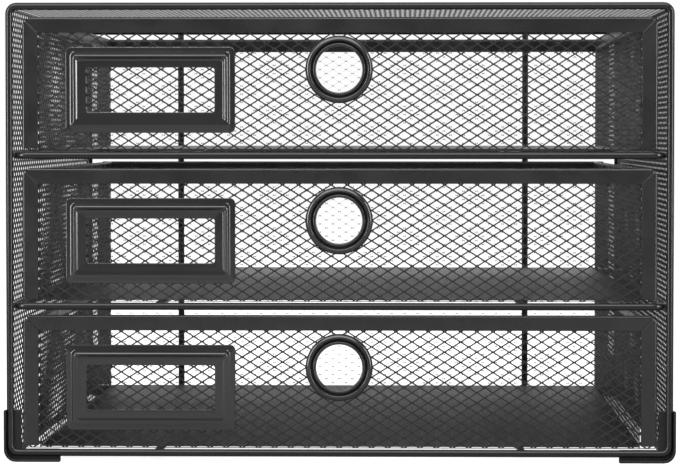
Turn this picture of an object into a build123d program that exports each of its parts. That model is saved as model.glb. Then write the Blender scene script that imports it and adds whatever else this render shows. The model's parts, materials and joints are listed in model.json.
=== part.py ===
"""Desktop organiser: three mesh drawers that slide in a wire and mesh case.

Millimetres, +Z up. The drawer fronts face -Y and +X is to the right of someone who
stands in front. The origin is in the middle of the footprint, at table height.
The expanded metal is drawn in long coarse diamonds; the rest is at its own size.
"""
import math
import os

from build123d import *

# ---- case -------------------------------------------------------------------
case_width = 270.0          # over the posts of the front frame
case_depth = 300.0          # from the front of one frame to the back of the other
tier = 59.5                 # one carrier wire to the next, for the bottom drawer
middle_rise = 1.6           # how much higher the middle tier is
top_rise = 0.7              # how much higher the top tier is
wire = 3.0                  # round wire of the frames, shelves and runners
frame_corner = 3.0          # bend of a frame wire, on its centre line
shelf_corner = 5.0          # bend of a shelf wire, on its centre line
runner_spacing = 148.0      # between the two wires that carry a drawer
upright_spacing = 174.0     # between the two wires across the open back

# ---- feet -------------------------------------------------------------------
foot_pad = 2.2              # plastic under the bottom wire
foot_wall = 1.0             # plastic outside and in front of the wire
foot_height = 21.0
foot_length = 21.8          # along the bottom wire, from the outside of the post
foot_round = 5.0            # outside corner of the foot, seen from the front

# ---- expanded metal ---------------------------------------------------------
sheet = 0.8                 # thickness of the flattened mesh
strand = 4.0                # strand between two diamonds
margin = 2.0                # unpierced edge
long_way = 120.0            # longest a drawer's diamond is, bond to bond
short_way = 20.0            # highest a drawer's diamond is
case_long_way = 110.0       # the same on the case
case_short_way = 60.0

# ---- drawers ----------------------------------------------------------------
drawer_recess = 0.1         # label holder behind the front of the frame
seat_gap = 0.3              # running gap under a drawer
head_gap = 2.1              # above a drawer, to the wire over the bottom one
side_gap = 3.5              # beside a drawer, to the posts
stop_gap = 7.5              # behind a closed drawer, to the uprights
trim_lift = 1.0             # trim above the underside of the drawer
trim_strip = 6.3            # width of the folded strip
trim_thickness = 2.0        # over both leaves of the fold
trim_corner = 3.0           # cut top corners
trim_edge = 0.4             # broken edge of a fold
rail_height = 5.0           # strip along the top of a side wall
wall_gap = 0.1              # side wall inside the trim's upright strips

# ---- label holder -----------------------------------------------------------
holder_width, holder_height = 68.6, 34.7
holder_left = 17.8          # from the left edge of the trim
holder_drop = 12.1          # from the top of the trim
holder_depth = 3.0
holder_rim = 0.8            # upright edge before the slope
holder_slope = 2.4          # width of the sloping border
holder_crest = 2.0          # flat ridge inside the slope
holder_step = 1.4           # ridge down to the ledge round the window
holder_ledge = 3.6
holder_corner = 2.0
card_slot = 0.8             # pocket behind the window, open at the left end
card_lap = 2.0              # card held behind the ledge, all round

# ---- finger ring ------------------------------------------------------------
ring_drop = 21.2            # hole centre below the top of the trim
ring_bore, ring_outside = 18.7, 27.3
ring_neck = 21.0            # collar that passes through the mesh
ring_clearance = 0.1
ring_lip = 2.6              # how far the lip stands out from the mesh

post_x = case_width / 2 - wire / 2
frame_y = case_depth / 2 - wire / 2
rail_z = foot_pad + wire / 2
lower_shelf_z = rail_z + tier
upper_shelf_z = lower_shelf_z + tier + middle_rise
top_z = upper_shelf_z + tier + top_rise
shelf_x = post_x - sheet / 2 - wire / 2
shelf_y = frame_y - wire
fold = (trim_thickness - sheet) / 2
drawer_width = case_width - 2 * (wire + side_gap)
trim_height = tier - wire - seat_gap - head_gap - trim_lift
front_mesh_y = -case_depth / 2 + drawer_recess + holder_depth + sheet / 2
rear_mesh_y = case_depth / 2 - wire - stop_gap - trim_thickness / 2
drawer_length = rear_mesh_y - front_mesh_y
wall_x = drawer_width / 2 - trim_strip - wall_gap - sheet / 2


def straight_wire(start, end):
    """A round wire with square ends."""
    run = Line(start, end)
    return sweep(Plane(origin=start, z_dir=run % 0) * Circle(wire / 2), path=run)


def wire_loop(width, height, corner):
    """A closed loop of wire in the XY plane, its bends drawn as one short run each."""
    x, y = width / 2, height / 2
    corners = [(x - corner, -y), (x, corner - y), (x, y - corner), (x - corner, y)]
    mirrored = [(-px, py) for px, py in reversed(corners)]
    path = Polyline((0, -y), *corners, *mirrored, close=True)
    start = Plane(origin=(0, -y, 0), z_dir=(1, 0, 0))
    return sweep(start * Circle(wire / 2), path=path, transition=Transition.RIGHT)


def expanded_sheet(outline, width, height, longest, highest):
    """A sheet face pierced by staggered diamonds, in whole half diamonds each way."""
    inner_width, inner_height = width - 2 * margin, height - 2 * margin
    columns = math.ceil(2 * inner_width / longest)
    rows = math.ceil(2 * inner_height / highest)
    half_long, half_short = inner_width / columns, inner_height / rows
    inset = strand / 2 * math.hypot(half_long, half_short)
    tip_x, tip_y = half_long - inset / half_short, half_short - inset / half_long
    diamond = Polygon((-tip_x, 0), (0, -tip_y), (tip_x, 0), (0, tip_y))
    corner = Pos(-inner_width / 2, -inner_height / 2)
    lattice = Sketch() + [
        corner * Pos(column * half_long, row * half_short) * diamond
        for column in range(columns + 1) for row in range(1 - column % 2, rows + 1, 2)]
    return outline - (lattice & Rectangle(inner_width, inner_height))


def mesh_panel(width, height, longest=long_way, highest=short_way):
    """A flat panel of expanded metal, centred, in the XY plane."""
    face = expanded_sheet(Rectangle(width, height), width, height, longest, highest)
    return extrude(face, sheet / 2, both=True)


def upright(shape, x, y, z):
    """Stands a shape drawn in XY up in the XZ plane, facing -Y."""
    return Pos(x, y, z) * Rot(X=90) * shape


def side_on(shape, x, y, z):
    """Stands a shape drawn in XY up in the YZ plane, its X along the depth."""
    return Pos(x, y, z) * Rot(Z=90) * Rot(X=90) * shape


def frame(y):
    loop = wire_loop(2 * post_x, top_z - rail_z, frame_corner)
    return upright(loop, 0, y, (rail_z + top_z) / 2)


def runner(x, z):
    """One wire along the depth, between the front and rear wires of a shelf."""
    reach = shelf_y - wire / 2
    return straight_wire((x, wire / 2 - frame_y, z), (x, reach, z))


def shelf(z):
    """A shelf loop; its front wire lies between the posts, its rear wire before them."""
    length = shelf_y + frame_y
    middle = (shelf_y - frame_y) / 2
    return Pos(0, middle, z) * wire_loop(2 * shelf_x, length, shelf_corner)


def base_wire(x):
    reach = frame_y - wire / 2
    return straight_wire((x, -reach, rail_z), (x, reach, rail_z))


def case_walls():
    """The wrap of expanded metal: two sides and a top that meets them at the corners."""
    length = 2 * (frame_y - wire / 2)
    side_top = top_z - sheet / 2
    side = mesh_panel(length, side_top - foot_pad, case_long_way, case_short_way)
    side_z = (side_top + foot_pad) / 2
    top = mesh_panel(length, 2 * post_x + sheet, case_long_way, case_short_way)
    return {
        "case_left_mesh": side_on(side, -post_x, 0, side_z),
        "case_right_mesh": side_on(side, post_x, 0, side_z),
        "case_top_mesh": Pos(0, 0, top_z) * Rot(Z=90) * top,
    }


def foot(x_side, y_side):
    """A corner foot: a front leaf, an outer wall and a pad round the bent wire."""
    outer = post_x + wire / 2 + foot_wall
    inner = post_x - wire / 2
    inner_z = rail_z + wire / 2
    end = post_x + wire / 2 - foot_length
    blank = Polygon((end, 0), (outer, 0), (outer, foot_height), (inner, foot_height),
                    (inner, inner_z), (end, inner_z), align=None)
    blank = fillet(blank.vertices().sort_by(Axis.X)[-2:].sort_by(Axis.Y)[0], foot_round)
    channel_width, channel_height = 2 * post_x + wire, top_z - rail_z + wire
    channel = Pos(0, (top_z + rail_z) / 2) * Rectangle(channel_width, channel_height)
    channel = chamfer(channel.vertices(), frame_corner)
    skin = extrude(blank - channel, wire + foot_wall)
    leaf = Pos(0, 0, wire) * extrude(blank, foot_wall)
    body = upright(skin + leaf, 0, -(frame_y - wire / 2), 0)
    if x_side < 0:
        body = mirror(body, Plane.YZ)
    return body if y_side < 0 else mirror(body, Plane.XZ)


def end_blank(bottom, top):
    """The sheet of a drawer's front or back before it is pierced, in XY about x = 0."""
    height = top - fold - bottom
    plate = Pos(0, height / 2) * Rectangle(drawer_width - 2 * fold, height)
    return chamfer(plate.vertices().sort_by(Axis.Y)[-2:], trim_corner), height


def drawer(name, carrier_z):
    """The eleven pieces of one drawer that rests on wires with this centre line."""
    bottom = carrier_z + wire / 2 + seat_gap
    top = bottom + trim_lift + trim_height
    blank, blank_height = end_blank(bottom, top)
    width = drawer_width - 2 * fold
    centred = Pos(0, -blank_height / 2) * blank
    pierced = expanded_sheet(centred, width, blank_height, long_way, short_way)
    ring_z = top - ring_drop
    finger_hole = Circle(ring_neck / 2 + ring_clearance)
    middle_z = bottom + blank_height / 2
    front_face = pierced - Pos(0, ring_z - middle_z) * finger_hole
    sheet_solid = extrude(front_face, sheet / 2, both=True)
    rear_solid = extrude(pierced, sheet / 2, both=True)

    length = drawer_length - sheet
    side_top = top - fold
    side = mesh_panel(drawer_length - trim_thickness, side_top - bottom)
    side_z = (side_top + bottom) / 2
    floor = mesh_panel(2 * wall_x - sheet, length)
    middle_y = (front_mesh_y + rear_mesh_y) / 2

    parts = {
        "front_mesh": upright(sheet_solid, 0, front_mesh_y, middle_z),
        "rear_mesh": upright(rear_solid, 0, rear_mesh_y, middle_z),
        "floor_mesh": Pos(0, middle_y, bottom + sheet / 2) * floor,
        "left_mesh": side_on(side, -wall_x, middle_y, side_z),
        "right_mesh": side_on(side, wall_x, middle_y, side_z),
        "front_trim": upright(trim(centred, blank_height), 0, front_mesh_y, middle_z),
        "rear_trim": upright(trim(centred, blank_height), 0, rear_mesh_y, middle_z),
        "left_rail": rail(-wall_x, middle_y, top),
        "right_rail": rail(wall_x, middle_y, top),
        "label_holder": label_holder(top),
        "finger_ring": finger_ring(ring_z),
    }
    return {f"{name}_{piece}": shape for piece, shape in parts.items()}


def trim(blank, blank_height):
    """The folded strip round the top and sides of an end sheet, in XY about its middle."""
    top = blank_height / 2 + fold
    outline = Pos(0, top - trim_height / 2) * Rectangle(drawer_width, trim_height)
    outline = chamfer(outline.vertices().sort_by(Axis.Y)[-2:], trim_corner)
    opening_height = trim_height - trim_strip
    opening = Pos(0, top - trim_strip - opening_height / 2) * Rectangle(
        drawer_width - 2 * trim_strip, opening_height)
    strip = extrude(outline - opening, trim_thickness / 2, both=True)
    rims = strip.edges().filter_by(GeomType.LINE).filter_by(Axis.Z, reverse=True)
    outer = [e for e in rims if e.center().Y > top - trim_strip / 2
             or abs(e.center().X) > (drawer_width - trim_strip) / 2]
    rims = [e for e in outer if e.center().Y > top - trim_height + trim_edge]
    strip = chamfer(rims, trim_edge)
    return strip - extrude(blank, sheet / 2, both=True)


def rail(x, y, top):
    """The folded strip along the top of a side wall."""
    length = drawer_length - trim_thickness
    strip = Pos(x, y, top - rail_height / 2) * Box(trim_thickness, length, rail_height)
    strip = chamfer(strip.edges().filter_by(Axis.Y).sort_by(Axis.Z)[-2:], trim_edge)
    slot = Pos(x, y, top - rail_height / 2 - fold) * Box(sheet, length, rail_height)
    return strip - slot


def label_holder(top):
    """A frame for a paper label: sloping border, ridge, and a ledge round the window."""
    x = holder_width / 2 - drawer_width / 2 + holder_left
    z = top - holder_drop - holder_height / 2
    plate = Rectangle(holder_width, holder_height)
    plate = chamfer(plate.vertices(), holder_corner)
    ridge = Rectangle(holder_width - 2 * holder_slope, holder_height - 2 * holder_slope)
    ridge = chamfer(ridge.vertices(), holder_corner)
    border = holder_slope + holder_crest
    recess = Rectangle(holder_width - 2 * border, holder_height - 2 * border)
    window_edge = border + holder_ledge
    window_width = holder_width - 2 * window_edge
    window_height = holder_height - 2 * window_edge
    window = Rectangle(window_width, window_height)
    rim = extrude(plate, holder_rim)
    slope = loft([Pos(0, 0, holder_rim) * plate, Pos(0, 0, holder_depth) * ridge])
    body = rim + slope
    body -= Pos(0, 0, holder_depth - holder_step) * extrude(recess, holder_step)
    body -= extrude(window, holder_depth)
    pocket_width = window_width + 2 * card_lap + holder_width
    pocket = Pos(-holder_width / 2) * Rectangle(pocket_width, window_height + 2 * card_lap)
    body -= extrude(pocket, card_slot)
    return upright(body, x, front_mesh_y - sheet / 2, z)


def finger_ring(z):
    """The eyelet round the finger hole: a lip and a collar through the mesh."""
    bore, outside, neck = ring_bore / 2, ring_outside / 2, ring_neck / 2
    profile = Polyline((bore, -sheet), (bore, ring_lip), (outside, ring_lip),
                       (outside, 0), (neck, 0), (neck, -sheet), close=True)
    body = revolve(Plane.XZ * make_face(profile), Axis.Z)
    return upright(body, 0, front_mesh_y - sheet / 2, z)


def case():
    nodes = {
        "front_frame": frame(-frame_y),
        "rear_frame": frame(frame_y),
        "upper_shelf": shelf(upper_shelf_z),
        "lower_shelf": shelf(lower_shelf_z),
    }
    nodes.update(case_walls())
    for side, x_side in (("left", -1), ("right", 1)):
        runner_x = x_side * runner_spacing / 2
        nodes[f"upper_{side}_runner"] = runner(runner_x, upper_shelf_z)
        nodes[f"lower_{side}_runner"] = runner(runner_x, lower_shelf_z)
        nodes[f"base_{side}_runner"] = base_wire(runner_x)
        nodes[f"base_{side}_wire"] = base_wire(x_side * shelf_x)
        upright_x = x_side * upright_spacing / 2
        nodes[f"rear_{side}_upright"] = straight_wire(
            (upright_x, frame_y, rail_z + wire / 2), (upright_x, frame_y, top_z - wire / 2))
        nodes[f"front_{side}_foot"] = foot(x_side, -1)
        nodes[f"rear_{side}_foot"] = foot(x_side, 1)
    return nodes


def main():
    nodes = case()
    nodes.update(drawer("top", upper_shelf_z))
    nodes.update(drawer("middle", lower_shelf_z))
    nodes.update(drawer("bottom", rail_z))
    os.makedirs("parts", exist_ok=True)
    for name, shape in nodes.items():
        export_step(shape, f"parts/{name}.step")


main()
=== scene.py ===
"""Desktop mini drawers in black enamelled steel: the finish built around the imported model."""
import json
import math

import bmesh
import bpy
from bpy.props import FloatProperty, FloatVectorProperty, IntProperty, PointerProperty
from mathutils import Matrix, Vector


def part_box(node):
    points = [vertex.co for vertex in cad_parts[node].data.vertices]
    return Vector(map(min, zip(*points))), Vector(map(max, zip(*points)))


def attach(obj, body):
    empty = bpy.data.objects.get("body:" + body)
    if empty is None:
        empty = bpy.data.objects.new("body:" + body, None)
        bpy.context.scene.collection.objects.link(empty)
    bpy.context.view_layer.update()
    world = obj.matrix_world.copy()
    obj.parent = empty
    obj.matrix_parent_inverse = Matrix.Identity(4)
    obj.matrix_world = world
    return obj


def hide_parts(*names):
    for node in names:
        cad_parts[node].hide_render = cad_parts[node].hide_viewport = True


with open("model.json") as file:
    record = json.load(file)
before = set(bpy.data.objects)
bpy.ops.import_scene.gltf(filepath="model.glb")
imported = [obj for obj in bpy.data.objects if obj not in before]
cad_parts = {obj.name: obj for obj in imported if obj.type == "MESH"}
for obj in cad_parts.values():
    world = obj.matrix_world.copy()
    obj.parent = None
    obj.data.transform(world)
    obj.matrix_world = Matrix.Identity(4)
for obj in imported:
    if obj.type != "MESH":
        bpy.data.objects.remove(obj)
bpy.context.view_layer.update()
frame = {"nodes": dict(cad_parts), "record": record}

bl_info = {
    "name": "Mesh Mini Drawers",
    "version": (1, 0, 0),
    "blender": (4, 5, 0),
    "location": "View3D > Sidebar > Drawers",
    "description": "Builds the mesh, strips, wires and fittings of a desktop drawer unit",
    "category": "Object",
}

BODY_OF = {node: body
           for body, nodes in frame["record"]["behaviour"]["bodies"].items() for node in nodes}
TIERS = ("top", "middle", "bottom")
MM = 0.001

# Photograph: 679 pixels across show this much of the front plane, seen from this far.
VIEW_WIDTH = 0.27404
VIEW_DISTANCE = 1.170
EYE_X, EYE_Z = 0.0274, 0.1333
AIM_X, AIM_Z = 0.0002, 0.0926
SENSOR = 36.0

# Softboxes: name, place, width and height, watts. All of them face the same point.
SOFTBOXES = (
    ("Top softbox", (-0.1, -0.80, 0.95), (1.3, 0.9), 22),
    ("Left softbox", (-0.95, -0.85, 0.35), (0.25, 0.8), 15),
    ("Right softbox", (1.0, -0.80, 0.35), (0.25, 0.8), 13),
    ("Back softbox", (0.2, 1.3, 0.9), (1.4, 0.6), 6),
)
LIT_POINT = (0, 0, 0.09)
WORLD_LIGHT = 0.45             # what the white world gives dull surfaces
ROOM_DARK, ROOM_PALE = 0.17, 0.7  # the room in front of the object, and the rest of it
FLOOR_GLOW = 0.85              # added to the floor for the camera alone

# Steps round a bend, a fold or a rim.
BEND_STEPS = 6
FOLD_STEPS = 4
FOOT_STEPS = 8
RIDGE_STEPS = 12
RING_STEPS = 72

# Small forms that follow the photograph.
MESH_COLLAR = 1.6 * MM         # the mesh is cut away this far outside the finger hole
FOOT_PAD = 2.2 * MM            # height of a foot's block beyond a wire's diameter
RIDGE_SUNK = 0.06              # what is left of a holder's ridge along its bottom
HOLDER_TAPER = 0.25            # how fast a holder's corners tighten towards the window
HOLDER_TIGHTEST = 1.0 * MM
CHAMFER = 0.3                  # middle point of a soft edge, as a share of its radius
RING_BEAD, RING_LIP = 1.3 * MM, 2.0 * MM          # widths seen from the front
BEAD_SET, GROOVE_SET = 0.9 * MM, 1.9 * MM         # how far each lies behind the lip
BEAD_SLOPE, LIP_SLOPE = 0.1 * MM, 0.4 * MM        # walls of the groove between them
NECK_WIDTH, NECK_LENGTH = 1.1 * MM, 0.8 * MM      # the collar through the mesh
LIP_ROLL, LIP_EDGE, BEAD_ROLL, GROOVE_ROLL = 1.55 * MM, 0.35 * MM, 0.5 * MM, 0.3 * MM


def linear(hex_colour):
    """An sRGB hex colour as linear red, green, blue."""
    values = [int(hex_colour[i:i + 2], 16) / 255 for i in (0, 2, 4)]
    return [v / 12.92 if v <= 0.04045 else ((v + 0.055) / 1.055) ** 2.4 for v in values]


# ---- settings ---------------------------------------------------------------
class ExpandedMetal(bpy.types.PropertyGroup):
    """The diamonds of the expanded steel."""
    long_way: FloatProperty(name="Long way", description="Width of a diamond, bond to bond",
                            default=6.5 * MM, unit="LENGTH")
    short_way: FloatProperty(name="Short way", description="Height of a diamond, bond to bond",
                             default=4.24 * MM, unit="LENGTH")
    strand: FloatProperty(name="Strand", description="Width of the steel between diamonds",
                          default=0.52 * MM, unit="LENGTH")
    gauge: FloatProperty(name="Gauge", description="Thickness of the sheet before stretching",
                         default=0.30 * MM, unit="LENGTH")
    raise_by: FloatProperty(name="Raise", description="Tilt of a strand out of the sheet",
                            default=0.07 * MM, unit="LENGTH")
    rear_strand: FloatProperty(name="Rear strand",
                               description="Width of the steel in a drawer's back",
                               default=0.05 * MM, unit="LENGTH")
    side_strand: FloatProperty(name="Side strand",
                               description="Width of the steel in the side walls and case top",
                               default=0.75 * MM, unit="LENGTH")
    bond: FloatProperty(name="Bond", description="Steel left in each corner of a front diamond",
                        default=0.35 * MM, unit="LENGTH")
    rear_bond: FloatProperty(name="Rear bond", description="Steel left in each corner at the back",
                             default=0.62 * MM, unit="LENGTH")
    wall_gauge: FloatProperty(name="Wall gauge",
                              description="Thickness of a drawer's side and rear walls",
                              default=0.24 * MM, unit="LENGTH")
    flat_gauge: FloatProperty(name="Flat gauge", description="Thickness of the flattened case top",
                              default=0.08 * MM, unit="LENGTH")


class FoldedStrip(bpy.types.PropertyGroup):
    """The steel strip folded over the edges of a drawer."""
    width: FloatProperty(name="Width", description="Width of the strip seen from the front",
                         default=6.3 * MM, unit="LENGTH")
    corner: FloatProperty(name="Corner", description="Cut of the two top corners",
                          default=3.0 * MM, unit="LENGTH")
    fold_radius: FloatProperty(name="Fold radius", description="Outside radius of the fold",
                               default=0.95 * MM, unit="LENGTH")
    mitre: FloatProperty(name="Mitre", description="Bevel on each edge of a mitre joint",
                         default=0.5 * MM, unit="LENGTH")


class Wire(bpy.types.PropertyGroup):
    """The drawn wire of the frames and shelves."""
    diameter: FloatProperty(name="Diameter", description="Diameter of the wire",
                            default=3.0 * MM, unit="LENGTH")
    frame_bend: FloatProperty(name="Frame bend", description="Bend radius of a frame",
                              default=3.0 * MM, unit="LENGTH")
    shelf_bend: FloatProperty(name="Shelf bend", description="Bend radius of a shelf",
                              default=5.6 * MM, unit="LENGTH")
    sides: IntProperty(name="Sides", description="Flats round the wire", default=20)


class Fittings(bpy.types.PropertyGroup):
    """The moulded label holder, finger ring and feet."""
    holder_corner: FloatProperty(name="Holder corner", description="Corner radius of a holder",
                                 default=2.2 * MM, unit="LENGTH")
    holder_rim: FloatProperty(name="Holder rim", description="Height of a holder's flange",
                              default=1.1 * MM, unit="LENGTH")
    holder_flange: FloatProperty(name="Holder flange", description="Width of the outer flange",
                                 default=1.7 * MM, unit="LENGTH")
    holder_ridge: FloatProperty(name="Holder ridge", description="Width of the rounded ridge",
                                default=3.7 * MM, unit="LENGTH")
    holder_step: FloatProperty(name="Holder step", description="Ridge down to the ledge",
                               default=1.5 * MM, unit="LENGTH")
    holder_ledge: FloatProperty(name="Holder ledge", description="Ledge round the window",
                                default=2.9 * MM, unit="LENGTH")
    ring_bore: FloatProperty(name="Ring bore", description="Diameter of the finger hole",
                             default=18.7 * MM, unit="LENGTH")
    foot_skin: FloatProperty(name="Foot skin", description="Plastic outside and below the wire",
                             default=1.0 * MM, unit="LENGTH")
    foot_bend: FloatProperty(name="Foot bend", description="Outside corner of a foot",
                             default=5.0 * MM, unit="LENGTH")
    foot_web: FloatProperty(name="Foot web", description="Width of the block inside the post",
                            default=2.9 * MM, unit="LENGTH")
    edge: FloatProperty(name="Moulded edge", description="Radius of a moulded edge",
                        default=0.35 * MM, unit="LENGTH")


class Finish(bpy.types.PropertyGroup):
    """Colours of the finishes."""
    enamel: FloatVectorProperty(name="Enamel", description="Black baked enamel",
                                default=linear("121212"), subtype="COLOR", min=0, max=1)
    plastic: FloatVectorProperty(name="Plastic", description="Black moulded plastic",
                                 default=linear("161616"), subtype="COLOR", min=0, max=1)
    foot: FloatVectorProperty(name="Foot", description="Softer black plastic of the feet",
                              default=linear("0d0d0d"), subtype="COLOR", min=0, max=1)


# ---- materials --------------------------------------------------------------
def add_node(tree, kind, settings=(), links=()):
    """A node with its settings and incoming links; a setting names a socket or a property."""
    node = tree.nodes.new(kind)
    for key, value in dict(settings).items():
        if isinstance(key, int) or key in node.inputs:
            node.inputs[key].default_value = value
        else:
            setattr(node, key, value)
    for key, source in dict(links).items():
        tree.links.new(source, node.inputs[key])
    return node


def new_material(name):
    material = bpy.data.materials.get(name)
    if material:
        return material, None
    material = bpy.data.materials.new(name)
    material.use_nodes = True
    material.node_tree.nodes.clear()
    return material, material.node_tree


def coated(name, colour, roughness, specular, grain, depth, patch, patch_contrast):
    """A dark coating: relief of a grain and depth, and patches of sheen, all in metres.

    A patch is as much rougher or smoother as patch_contrast says, and a little paler.
    """
    material, tree = new_material(name)
    if tree is None:
        return material
    place = add_node(tree, "ShaderNodeTexCoord").outputs["Object"]
    relief = add_node(tree, "ShaderNodeTexNoise", {"Scale": 1 / grain, "Detail": 2.0},
                      {"Vector": place})
    patches = add_node(tree, "ShaderNodeTexNoise", {"Scale": 1 / patch, "Detail": 3.0},
                       {"Vector": place})
    sheen = add_node(tree, "ShaderNodeMapRange",
                     {"From Min": 0.3, "From Max": 0.7, "To Min": roughness - patch_contrast,
                      "To Max": roughness + patch_contrast}, {"Value": patches.outputs["Fac"]})
    paler = [min(1, c * 1.35 + 0.001) for c in colour] + [1]
    tone = add_node(tree, "ShaderNodeMix",
                    {"data_type": "RGBA", 6: [*colour, 1], 7: paler},
                    {0: patches.outputs["Fac"]})
    bump = add_node(tree, "ShaderNodeBump", {"Strength": 0.6, "Distance": depth},
                    {"Height": relief.outputs["Fac"]})
    shader = add_node(tree, "ShaderNodeBsdfPrincipled", {"Specular IOR Level": specular},
                      {"Base Color": tone.outputs[2], "Roughness": sheen.outputs["Result"],
                       "Normal": bump.outputs["Normal"]})
    add_node(tree, "ShaderNodeOutputMaterial", (), {"Surface": shader.outputs["BSDF"]})
    return material


def baked_enamel():
    """Sprayed and baked enamel: deep black, semi-gloss, with a slight orange peel."""
    colour = bpy.context.scene.drawers_finish.enamel
    return coated("Baked enamel on strip", colour, 0.28, 0.45, 1.1 * MM, 0.012 * MM, 14 * MM, 0.06)


def dipped_wire_enamel():
    """Thin enamel on bright drawn wire: black sides with narrow, sharp highlights."""
    colour = bpy.context.scene.drawers_finish.enamel
    return coated("Enamel on drawn wire", colour, 0.20, 0.26, 1.3 * MM, 0.006 * MM, 18 * MM, 0.04)


def dipped_mesh_enamel():
    """Dipped enamel on mesh: it pools at the bonds, so its sheen changes over millimetres."""
    colour = bpy.context.scene.drawers_finish.enamel
    return coated("Enamel on expanded steel", colour, 0.40, 0.32, 0.9 * MM, 0.015 * MM,
                  3 * MM, 0.08)


def polished_plastic():
    """Injection-moulded ABS from a polished tool: smooth, soft-edged reflections."""
    colour = bpy.context.scene.drawers_finish.plastic
    return coated("Moulded ABS", colour, 0.16, 0.50, 0.5 * MM, 0.004 * MM, 22 * MM, 0.04)


def etched_plastic():
    """Polypropylene from an etched tool: a fine matt grain, drawn a little coarse to show."""
    colour = bpy.context.scene.drawers_finish.foot
    return coated("Etched polypropylene", colour, 0.40, 0.22, 0.45 * MM, 0.02 * MM, 9 * MM, 0.05)


# ---- modelling --------------------------------------------------------------
def add_piece(bm, name, node, material, smooth_angle=math.radians(35), flat=True):
    """Makes the finished object of a bmesh, standing for one CAD node.

    With flat set, the large faces stay flat to the eye and only the rounded edges shade.
    """
    mesh = bpy.data.meshes.new(name)
    bm.to_mesh(mesh)
    bm.free()
    mesh.polygons.foreach_set("use_smooth", [True] * len(mesh.polygons))
    mesh.set_sharp_from_angle(angle=smooth_angle)
    mesh.materials.append(material)
    piece = bpy.data.objects.new(name, mesh)
    bpy.context.scene.collection.objects.link(piece)
    if flat:
        piece.modifiers.new("Flat faces", "WEIGHTED_NORMAL").keep_sharp = True
    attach(piece, BODY_OF[node])
    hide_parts(node)
    return piece


def dress_node(node, material):
    """Gives a CAD node whose shape is right its material."""
    slots = frame["nodes"][node].data.materials
    slots.clear()
    slots.append(material)


def middle_and_size(node):
    low, high = (Vector(corner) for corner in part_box(node))
    return (low + high) / 2, high - low


def box_bmesh(size, centre):
    bm = bmesh.new()
    bmesh.ops.create_cube(bm, size=1.0,
                          matrix=Matrix.Translation(centre) @ Matrix.Diagonal((*size, 1)))
    return bm


def round_edges(bm, edges, radius, segments=3):
    bmesh.ops.bevel(bm, geom=list(edges), offset=radius, offset_type="OFFSET", affect="EDGES",
                    segments=segments, profile=0.5, material=-1, clamp_overlap=True)


def facing(node):
    """The matrix from a panel drawn flat, its diamonds along X, to the node's own place."""
    centre, size = middle_and_size(node)
    turns = {  # by the axis that the panel is thin along
        0: Matrix(((0, 0, 1), (1, 0, 0), (0, 1, 0))),
        1: Matrix(((1, 0, 0), (0, 0, -1), (0, 1, 0))),
        2: Matrix(((1, 0, 0), (0, 1, 0), (0, 0, 1))),
    }
    thin = min(range(3), key=lambda axis: size[axis])
    turn = turns[thin]
    if node == "case_top_mesh":  # its diamonds run from front to back
        turn = Matrix(((0, -1, 0), (1, 0, 0), (0, 0, 1)))
    long_side, short_side, _ = (abs(v) for v in turn.transposed() @ size)
    return Matrix.Translation(centre) @ turn.to_4x4(), long_side, short_side


def expanded_panel(long_side, short_side):
    """A flat rectangle of expanded steel, with a whole number of diamonds each way."""
    metal = bpy.context.scene.drawers_metal
    across = round(long_side / metal.long_way)
    up = round(short_side / metal.short_way)
    step_x, step_y = long_side / across, short_side / up
    cells = across + up + 2  # of a square grid, sheared to diamonds and cut to the panel
    bm = bmesh.new()
    bmesh.ops.create_grid(bm, x_segments=cells, y_segments=cells, size=cells / 2)
    slant = Matrix(((step_x / 2, -step_x / 2, 0, 0), (step_y / 2, step_y / 2, 0, 0),
                    (0, 0, 1, 0), (0, 0, 0, 1)))
    bmesh.ops.transform(bm, matrix=slant, verts=bm.verts)
    if across % 2 and up % 2:  # then the rows start half a diamond along
        bmesh.ops.translate(bm, vec=(step_x / 2, 0, 0), verts=bm.verts)
    for side, reach in ((Vector((1, 0, 0)), long_side / 2), (Vector((0, 1, 0)), short_side / 2)):
        for sign in (1, -1):
            bmesh.ops.bisect_plane(bm, geom=bm.verts[:] + bm.edges[:] + bm.faces[:],
                                   dist=1e-7, plane_co=side * sign * reach,
                                   plane_no=side * sign, clear_outer=True)
    return bm


def pierce(bm, strand, gauge, raise_by=0.0, bond=0.0):
    """Opens each diamond, tilts its strands and leaves wide bonds at its ends.

    A bond cuts both ends of a whole diamond, so its hole has six corners.
    """
    diamonds = bm.faces[:]
    bmesh.ops.inset_individual(bm, faces=diamonds, thickness=strand / 2, use_even_offset=True)
    ends = []
    for diamond in diamonds:
        middle = diamond.calc_center_median()
        for vert in diamond.verts:
            side = vert.co - middle
            if abs(side.x) < abs(side.y):
                vert.co.z = -math.copysign(raise_by, side.y)
            elif len(diamond.verts) == 4 and abs(side.y) < strand:
                ends.append(vert)
    if bond:
        bmesh.ops.bevel(bm, geom=ends, offset=bond, offset_type="OFFSET", affect="VERTICES",
                        segments=1, profile=0.5, material=-1)
    holes = [face for face in diamonds if face.is_valid]
    holes += [face for face in bm.faces if bond and len(face.verts) == 6 and face not in holes]
    bmesh.ops.delete(bm, geom=holes, context="FACES_ONLY")
    loose = [edge for edge in bm.edges if not edge.link_faces]
    bmesh.ops.delete(bm, geom=loose, context="EDGES")
    bmesh.ops.recalc_face_normals(bm, faces=bm.faces)
    bmesh.ops.solidify(bm, geom=bm.faces[:], thickness=gauge)
    bmesh.ops.translate(bm, vec=(0, 0, gauge / 2), verts=bm.verts)


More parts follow.
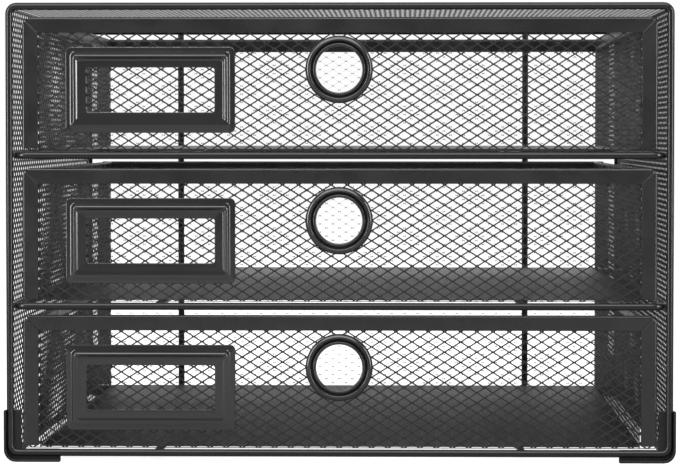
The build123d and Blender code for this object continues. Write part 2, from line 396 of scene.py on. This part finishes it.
def mesh_panel(node, material):
    """One wall or floor: the front is cut for the ring, and each kind has its own strands."""
    place, long_side, short_side = facing(node)
    bm = expanded_panel(long_side, short_side)
    if node.endswith("front_mesh"):
        ring, _ = middle_and_size(node.replace("front_mesh", "finger_ring"))
        hole = place.inverted() @ ring
        collar = bpy.context.scene.drawers_fittings.ring_bore / 2 + MESH_COLLAR
        inside = [face for face in bm.faces
                  if (face.calc_center_median() - Vector((hole.x, hole.y, 0))).length < collar]
        bmesh.ops.delete(bm, geom=inside, context="FACES")
    metal = bpy.context.scene.drawers_metal
    if node == "case_top_mesh":
        pierce(bm, metal.side_strand, metal.flat_gauge)
    elif node.endswith(("left_mesh", "right_mesh")):
        pierce(bm, metal.side_strand,
               metal.gauge if node.startswith("case") else metal.wall_gauge)
    elif node.endswith("rear_mesh"):
        pierce(bm, metal.rear_strand, metal.wall_gauge, bond=metal.rear_bond)
    elif node.endswith("front_mesh"):
        pierce(bm, metal.strand, metal.gauge, metal.raise_by, metal.bond)
    else:
        pierce(bm, metal.strand, metal.gauge, metal.raise_by)
    bmesh.ops.transform(bm, matrix=place, verts=bm.verts)
    bmesh.ops.recalc_face_normals(bm, faces=bm.faces)
    return add_piece(bm, f"expanded_{node}", node, material, flat=False)


def cut_off(bm, corner, normal):
    """Cuts away what lies beyond a plane and closes the cut."""
    cut = bmesh.ops.bisect_plane(bm, geom=bm.verts[:] + bm.edges[:] + bm.faces[:], dist=1e-7,
                                 plane_co=corner, plane_no=normal, clear_outer=True)["geom_cut"]
    edges = [item for item in cut if isinstance(item, bmesh.types.BMEdge)]
    bmesh.ops.edgeloop_fill(bm, edges=edges)


def soften_mitre(bm, corner, normal, width):
    """Bevels the edges of a mitre cut, so that the joint shows as a fine groove."""
    edges = [edge for edge in bm.edges
             if all(abs((vert.co - corner).dot(normal)) < 1e-6 for vert in edge.verts)]
    bmesh.ops.bevel(bm, geom=edges, offset=width, offset_type="OFFSET", affect="EDGES",
                    segments=2, profile=0.5, material=-1)


def folded_trim(node, material):
    """The strip round a drawer end: a top length and two uprights, folded, then mitred."""
    strip = bpy.context.scene.drawers_strip
    centre, size = middle_and_size(node)
    half, top, width = size.x / 2, centre.z + size.z / 2, strip.width
    whole = bmesh.new()
    for side in (0, 1, -1):  # the top length, then the uprights
        if side:
            bm = box_bmesh((width, size.y, size.z),
                           (side * (half - width / 2), centre.y, centre.z))
        else:
            bm = box_bmesh((size.x, size.y, width), (0, centre.y, top - width / 2))
        along = [edge for edge in bm.edges
                 if abs((edge.verts[0].co - edge.verts[1].co)[2 if side else 0]) > 2 * width]
        folded = [edge for edge in along
                  if (abs(edge.verts[0].co.x) > half - width / 2 if side
                      else edge.verts[0].co.z > top - width / 2)]
        round_edges(bm, folded, strip.fold_radius, FOLD_STEPS)
        inner_edges = [edge for edge in along if edge.is_valid and edge not in folded]
        round_edges(bm, inner_edges, strip.mitre / 4, 2)
        for end in (1, -1):
            if side == -end:
                continue
            inner = Vector((end * (half - width), 0, top - width))
            normal = Vector((end, 0, -1)).normalized() * (-1 if side else 1)
            cut_off(bm, Vector((end * (half - strip.corner), 0, top)),
                    Vector((end, 0, 1)).normalized())
            cut_off(bm, inner, normal)
            soften_mitre(bm, inner, normal, strip.mitre)
        part = bpy.data.meshes.new("part")
        bm.to_mesh(part)
        bm.free()
        whole.from_mesh(part)
        bpy.data.meshes.remove(part)
    bmesh.ops.recalc_face_normals(whole, faces=whole.faces)
    return add_piece(whole, f"folded_{node}", node, material)


def side_rail(node, material):
    """The strip along the top of a side wall, folded over it."""
    centre, size = middle_and_size(node)
    bm = box_bmesh(size, centre)
    along = [edge for edge in bm.edges
             if abs(edge.verts[0].co.y - edge.verts[1].co.y) > size.y / 2]
    round_edges(bm, along, bpy.context.scene.drawers_strip.fold_radius, FOLD_STEPS)
    return add_piece(bm, f"folded_{node}", node, material)


def bent_loop(width, height, bend):
    """A closed loop of round wire in the XY plane, drawn out straight and spun at each bend."""
    wire = bpy.context.scene.drawers_wire
    bm = bmesh.new()
    start = Matrix.Translation((0, -height / 2, 0)) @ Matrix.Rotation(math.pi / 2, 4, "Y")
    ring = bmesh.ops.create_circle(bm, segments=wire.sides, radius=wire.diameter / 2,
                                   matrix=start)["verts"]
    geometry = ring + list({edge for vert in ring for edge in vert.link_edges})
    heading, turn = Vector((1, 0, 0)), Matrix.Rotation(math.pi / 2, 3, "Z")
    here = Vector((0, -height / 2, 0))
    runs = [width / 2 - bend, height - 2 * bend, width - 2 * bend, height - 2 * bend,
            width / 2 - bend]
    for index, run in enumerate(runs):
        edges = [item for item in geometry if isinstance(item, bmesh.types.BMEdge)]
        geometry = bmesh.ops.extrude_edge_only(bm, edges=edges)["geom"]
        moved = [item for item in geometry if isinstance(item, bmesh.types.BMVert)]
        bmesh.ops.translate(bm, vec=heading * run, verts=moved)
        here = here + heading * run
        if index == len(runs) - 1:
            break
        inward = turn @ heading
        pivot = here + inward * bend
        geometry = [item for item in geometry if not isinstance(item, bmesh.types.BMFace)]
        geometry = bmesh.ops.spin(bm, geom=geometry, cent=pivot, axis=(0, 0, 1),
                                  angle=math.pi / 2, steps=BEND_STEPS)["geom_last"]
        here = pivot + heading * bend
        heading = inward
    bmesh.ops.remove_doubles(bm, verts=bm.verts, dist=1e-6)
    bmesh.ops.recalc_face_normals(bm, faces=bm.faces)
    return bm


def wire_loop(node, material):
    """A frame stands up, a shelf lies flat."""
    wire = bpy.context.scene.drawers_wire
    centre, size = middle_and_size(node)
    if node.endswith("frame"):
        bm = bent_loop(size.x - wire.diameter, size.z - wire.diameter, wire.frame_bend)
        place = Matrix.Translation(centre) @ Matrix.Rotation(math.pi / 2, 4, "X")
    else:
        bm = bent_loop(size.x - wire.diameter, size.y - wire.diameter, wire.shelf_bend)
        place = Matrix.Translation(centre)
    bmesh.ops.transform(bm, matrix=place, verts=bm.verts)
    return add_piece(bm, f"wire_{node}", node, material, math.radians(50), False)


def prism(outline, y, depth, radius):
    """A soft-edged block of an XZ outline, as a mesh that another bmesh can take in."""
    bm = bmesh.new()
    face = bm.faces.new([bm.verts.new((x, y, z)) for x, z in outline])
    made = bmesh.ops.extrude_face_region(bm, geom=[face])["geom"]
    moved = [item for item in made if isinstance(item, bmesh.types.BMVert)]
    bmesh.ops.translate(bm, vec=(0, depth, 0), verts=moved)
    bmesh.ops.recalc_face_normals(bm, faces=bm.faces)
    sharp = [edge for edge in bm.edges if edge.calc_face_angle(0) > math.radians(40)]
    round_edges(bm, sharp, radius)
    mesh = bpy.data.meshes.new("part")
    bm.to_mesh(mesh)
    bm.free()
    return mesh


def corner_foot(node, material):
    """A foot: a skin below and outside the bent wire, and a block behind it up to the drawer."""
    fittings, wire = bpy.context.scene.drawers_fittings, bpy.context.scene.drawers_wire
    centre, size = middle_and_size(node)
    across, along = (math.copysign(1, value) for value in (centre.x, centre.y))
    outer, end = abs(centre.x) + size.x / 2, abs(centre.x) - size.x / 2
    skin, bend, height = fittings.foot_skin, fittings.foot_bend, size.z
    inside = wire.diameter + FOOT_PAD
    web = outer - skin - wire.diameter - fittings.foot_web

    def corner(radius):
        angles = [math.pi / 2 * step / FOOT_STEPS for step in range(FOOT_STEPS + 1)]
        return [(outer - bend + radius * math.sin(angle), bend - radius * math.cos(angle))
                for angle in angles]

    shell = [(end, 0), *corner(bend), (outer, height), (outer - skin, height),
             *reversed(corner(bend - skin)), (end, skin)]
    block = [(end, 0), *corner(bend), (outer, height), (web, height), (web, inside),
             (end, inside)]
    near = abs(centre.y) - size.y / 2
    bm = bmesh.new()
    for outline, y, depth in ((shell, near + wire.diameter / 2, size.y - wire.diameter / 2),
                              (block, near, wire.diameter / 2)):
        part = prism([(across * x, z) for x, z in outline], along * y, along * depth,
                     fittings.edge)
        bm.from_mesh(part)
        bpy.data.meshes.remove(part)
    return add_piece(bm, f"moulded_{node}", node, material)


def contour(bm, width, height, radius, depth):
    """Adds a rounded rectangle in XY at a depth; returns its edges."""
    before = set(bm.edges)
    verts = bmesh.ops.create_grid(
        bm, x_segments=1, y_segments=1, size=0.5,
        matrix=Matrix.Translation((0, 0, depth)) @ Matrix.Diagonal((width, height, 1, 1))
    )["verts"]
    bmesh.ops.bevel(bm, geom=verts, offset=radius, offset_type="OFFSET", affect="VERTICES",
                    segments=5, profile=0.5, material=-1)
    edges = [edge for edge in bm.edges if edge not in before]
    bmesh.ops.delete(bm, geom=[face for edge in edges for face in edge.link_faces][:1],
                     context="FACES_ONLY")
    return edges


def label_holder(node, material):
    """A frame with a window: a flat flange, a rounded ridge and a ledge, all soft-edged."""
    fittings = bpy.context.scene.drawers_fittings
    centre, size = middle_and_size(node)
    soft, flange = fittings.edge, fittings.holder_flange
    foot, ridge = fittings.holder_rim, flange + fittings.holder_ridge
    ledge, window = size.y - fittings.holder_step, ridge + fittings.holder_ledge
    profile = [(0, 0), (0, foot - soft), (soft * CHAMFER, foot - soft * CHAMFER), (soft, foot),
               (flange - soft, foot)]
    for step in range(1, RIDGE_STEPS):
        low = foot if step < RIDGE_STEPS / 2 else ledge
        profile.append((flange + fittings.holder_ridge * step / RIDGE_STEPS,
                        low + (size.y - low) * math.sin(math.pi * step / RIDGE_STEPS) ** 2))
    profile += [(ridge + soft, ledge), (window - soft, ledge),
                (window - soft * CHAMFER, ledge - soft * CHAMFER), (window, ledge - soft),
                (window, 0)]
    bm = bmesh.new()
    loops, spread = [], size.x  # bridged far apart, then closed up: level loops would twist
    for index, (inset, height) in enumerate(profile):
        loops.append(contour(bm, size.x - 2 * inset, size.z - 2 * inset,
                             max(fittings.holder_corner - inset * HOLDER_TAPER, HOLDER_TIGHTEST),
                             height + index * spread))
    for first, second in zip(loops, loops[1:] + loops[:1]):
        bmesh.ops.bridge_loops(bm, edges=first + second)
    for index, loop in enumerate(loops):
        level = list({vert for edge in loop for vert in edge.verts})
        bmesh.ops.translate(bm, vec=(0, 0, -index * spread), verts=level)
        if profile[index][1] > ledge:  # the ridge sinks along the bottom
            for vert in level:
                if vert.co.y < window - size.z / 2:
                    vert.co.z = ledge + (vert.co.z - ledge) * RIDGE_SUNK
    place = Matrix.Translation((centre.x, centre.y + size.y / 2, centre.z)) \
        @ Matrix.Rotation(math.pi / 2, 4, "X")
    bmesh.ops.transform(bm, matrix=place, verts=bm.verts)
    bmesh.ops.recalc_face_normals(bm, faces=bm.faces)
    return add_piece(bm, f"moulded_{node}", node, material)


def finger_ring(node, material):
    """The eyelet: a round lip, a groove and a bead, spun about the finger hole.

    The front faces -Y, and a depth is counted from the front of the lip.
    """
    fittings = bpy.context.scene.drawers_fittings
    centre, size = middle_and_size(node)
    bore, outside = fittings.ring_bore / 2, size.x / 2
    front, back = -size.y / 2, size.y / 2
    bead, lip, neck = bore + RING_BEAD, outside - RING_LIP, bore + NECK_WIDTH
    profile = [(bore, back), (bore, front + BEAD_SET), (bead, front + BEAD_SET),
               (bead + BEAD_SLOPE, front + GROOVE_SET), (lip - LIP_SLOPE, front + GROOVE_SET),
               (lip, front), (outside, front), (outside, back - NECK_LENGTH),
               (neck, back - NECK_LENGTH), (neck, back)]
    bm = bmesh.new()
    verts = [bm.verts.new((x, y, 0)) for x, y in profile]
    for index, vert in enumerate(verts):
        bm.edges.new((vert, verts[(index + 1) % len(verts)]))
    for corners, radius in ((verts[6:7], LIP_ROLL), (verts[5:6], LIP_EDGE),
                            (verts[1:3], BEAD_ROLL), (verts[3:5], GROOVE_ROLL)):
        bmesh.ops.bevel(bm, geom=corners, offset=radius, offset_type="OFFSET", affect="VERTICES",
                        segments=4, profile=0.5, material=-1)
    bmesh.ops.spin(bm, geom=bm.verts[:] + bm.edges[:], cent=(0, 0, 0), axis=(0, 1, 0),
                   angle=math.tau, steps=RING_STEPS, use_merge=True)
    bmesh.ops.translate(bm, vec=centre, verts=bm.verts)
    bmesh.ops.remove_doubles(bm, verts=bm.verts, dist=1e-6)
    bmesh.ops.recalc_face_normals(bm, faces=bm.faces)
    return add_piece(bm, f"moulded_{node}", node, material)


# ---- operators --------------------------------------------------------------
class DRAWERS_OT_expanded_metal(bpy.types.Operator):
    """Pierce the panels of the case and of the drawers"""
    bl_idname = "drawers.expanded_metal"
    bl_label = "Expanded Metal"

    def execute(self, context):
        material = dipped_mesh_enamel()
        for node in frame["nodes"]:
            if node.endswith("_mesh"):
                mesh_panel(node, material)
        return {"FINISHED"}


class DRAWERS_OT_folded_strips(bpy.types.Operator):
    """Fold the strips round the drawer ends and along their side walls"""
    bl_idname = "drawers.folded_strips"
    bl_label = "Folded Strips"

    def execute(self, context):
        material = baked_enamel()
        for node in frame["nodes"]:
            if node.endswith("_trim"):
                folded_trim(node, material)
            elif node.endswith("_rail"):
                side_rail(node, material)
        return {"FINISHED"}


class DRAWERS_OT_wires(bpy.types.Operator):
    """Bend the frames and shelves and enamel the straight wires"""
    bl_idname = "drawers.wires"
    bl_label = "Wires"

    def execute(self, context):
        material = dipped_wire_enamel()
        for node in frame["nodes"]:
            if node.endswith(("_frame", "_shelf")):
                wire_loop(node, material)
            elif node.endswith(("_runner", "_wire", "_upright")):
                dress_node(node, material)
        return {"FINISHED"}


class DRAWERS_OT_feet(bpy.types.Operator):
    """Mould the corner feet"""
    bl_idname = "drawers.feet"
    bl_label = "Feet"

    def execute(self, context):
        material = etched_plastic()
        for node in frame["nodes"]:
            if node.endswith("_foot"):
                corner_foot(node, material)
        return {"FINISHED"}


class DRAWERS_OT_fittings(bpy.types.Operator):
    """Mould the label holders and the finger rings"""
    bl_idname = "drawers.fittings"
    bl_label = "Label Holders and Rings"

    def execute(self, context):
        material = polished_plastic()
        for tier in TIERS:
            label_holder(f"{tier}_label_holder", material)
            finger_ring(f"{tier}_finger_ring", material)
        return {"FINISHED"}


class DRAWERS_OT_studio(bpy.types.Operator):
    """Set the white floor, the soft lights and the camera"""
    bl_idname = "drawers.studio"
    bl_label = "Studio"

    def execute(self, context):
        white_floor()
        white_world()
        for softbox in SOFTBOXES:
            soft_light(*softbox)
        photo_camera()
        return {"FINISHED"}


class DRAWERS_PT_panel(bpy.types.Panel):
    """Everything that builds the drawer unit"""
    bl_label = "Mesh Mini Drawers"
    bl_space_type = "VIEW_3D"
    bl_region_type = "UI"
    bl_category = "Drawers"

    def draw(self, context):
        for _, operators, settings in BUILD_ORDER:
            box = self.layout.box()
            for operator in operators:
                box.operator(operator.bl_idname)
            group = getattr(context.scene, settings, None)
            for name in getattr(group, "__annotations__", ()):
                box.prop(group, name)


# ---- stage ------------------------------------------------------------------
def seen_directly(tree):
    """1 on camera, glossy and transmission rays, which see the backdrop itself."""
    path = add_node(tree, "ShaderNodeLightPath")
    first = add_node(tree, "ShaderNodeMath", {"operation": "MAXIMUM"},
                     {0: path.outputs["Is Camera Ray"], 1: path.outputs["Is Glossy Ray"]})
    return add_node(tree, "ShaderNodeMath", {"operation": "MAXIMUM"},
                    {0: first.outputs[0], 1: path.outputs["Is Transmission Ray"]}).outputs[0]


def white_floor():
    """A matt white sweep that shows the soft shadow under the feet."""
    bm = bmesh.new()
    bmesh.ops.create_grid(bm, x_segments=1, y_segments=1, size=4.0)
    mesh = bpy.data.meshes.new("Floor")
    bm.to_mesh(mesh)
    bm.free()
    floor = bpy.data.objects.new("Floor", mesh)
    bpy.context.scene.collection.objects.link(floor)
    material, tree = new_material("White sweep")
    glow = add_node(tree, "ShaderNodeMath", {"operation": "MULTIPLY", 1: FLOOR_GLOW},
                    {0: add_node(tree, "ShaderNodeLightPath").outputs["Is Camera Ray"]})
    shader = add_node(tree, "ShaderNodeBsdfPrincipled",
                      {"Base Color": [*linear("a8a8a8"), 1], "Roughness": 0.9,
                       "Specular IOR Level": 0.0, "Emission Color": [1, 1, 1, 1]},
                      {"Emission Strength": glow.outputs[0]})
    add_node(tree, "ShaderNodeOutputMaterial", (), {"Surface": shader.outputs["BSDF"]})
    mesh.materials.append(material)


def white_world():
    """White where it is seen; in reflections the room behind the camera is dim."""
    world = bpy.context.scene.world or bpy.data.worlds.new("World")
    bpy.context.scene.world = world
    world.use_nodes = True
    tree = world.node_tree
    tree.nodes.clear()
    towards = add_node(tree, "ShaderNodeSeparateXYZ", (), {
        0: add_node(tree, "ShaderNodeTexCoord").outputs["Generated"]})
    room = add_node(tree, "ShaderNodeMapRange",
                    {"From Min": -0.8, "From Max": -0.1, "To Min": ROOM_DARK,
                     "To Max": ROOM_PALE},
                    {"Value": towards.outputs["Y"]})
    path = add_node(tree, "ShaderNodeLightPath")
    seen = add_node(tree, "ShaderNodeMix", {3: 1.0}, {0: path.outputs["Is Camera Ray"],
                                                      2: room.outputs["Result"]})
    strength = add_node(tree, "ShaderNodeMix", {2: WORLD_LIGHT},
                        {0: seen_directly(tree), 3: seen.outputs[0]})
    backdrop = add_node(tree, "ShaderNodeBackground", {"Color": [1, 1, 1, 1]},
                        {"Strength": strength.outputs[0]})
    add_node(tree, "ShaderNodeOutputWorld", (), {"Surface": backdrop.outputs[0]})


def soft_light(name, place, size, power):
    light = bpy.data.lights.new(name, "AREA")
    light.shape = "RECTANGLE"
    light.size, light.size_y = size
    light.energy = power
    lamp = bpy.data.objects.new(name, light)
    lamp.location = place
    aim = Vector(LIT_POINT) - Vector(place)
    lamp.rotation_euler = aim.to_track_quat("-Z", "Y").to_euler()
    bpy.context.scene.collection.objects.link(lamp)


def photo_camera():
    """The photograph's camera, a little above and right of the middle, aimed at the front."""
    camera = bpy.data.cameras.new("Camera")
    camera.sensor_width = SENSOR
    eye = bpy.data.objects.new("Camera", camera)
    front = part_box("front_frame")[0][1]
    eye.location = (EYE_X, front - VIEW_DISTANCE, EYE_Z)
    aim = Vector((AIM_X, front, AIM_Z)) - eye.location
    camera.lens = SENSOR * aim.length / VIEW_WIDTH
    eye.rotation_euler = aim.to_track_quat("-Z", "Y").to_euler()
    bpy.context.scene.collection.objects.link(eye)
    bpy.context.scene.camera = eye


# ---- add-on -----------------------------------------------------------------
BUILD_ORDER = (
    (ExpandedMetal, (DRAWERS_OT_expanded_metal,), "drawers_metal"),
    (FoldedStrip, (DRAWERS_OT_folded_strips,), "drawers_strip"),
    (Wire, (DRAWERS_OT_wires,), "drawers_wire"),
    (Fittings, (DRAWERS_OT_feet, DRAWERS_OT_fittings), "drawers_fittings"),
    (Finish, (DRAWERS_OT_studio,), "drawers_finish"),
)


def register():
    for group, operators, settings in BUILD_ORDER:
        bpy.utils.register_class(group)
        setattr(bpy.types.Scene, settings, PointerProperty(type=group))
        for operator in operators:
            bpy.utils.register_class(operator)
    bpy.utils.register_class(DRAWERS_PT_panel)


def unregister():
    bpy.utils.unregister_class(DRAWERS_PT_panel)
    for group, operators, settings in reversed(BUILD_ORDER):
        for operator in reversed(operators):
            bpy.utils.unregister_class(operator)
        delattr(bpy.types.Scene, settings)
        bpy.utils.unregister_class(group)


def main():
    register()
    scene = bpy.context.scene
    scene.view_settings.view_transform = "Standard"
    for build in (bpy.ops.drawers.expanded_metal, bpy.ops.drawers.folded_strips,
                  bpy.ops.drawers.wires, bpy.ops.drawers.feet, bpy.ops.drawers.fittings,
                  bpy.ops.drawers.studio):
        build()


if __name__ == "__main__":
    main()
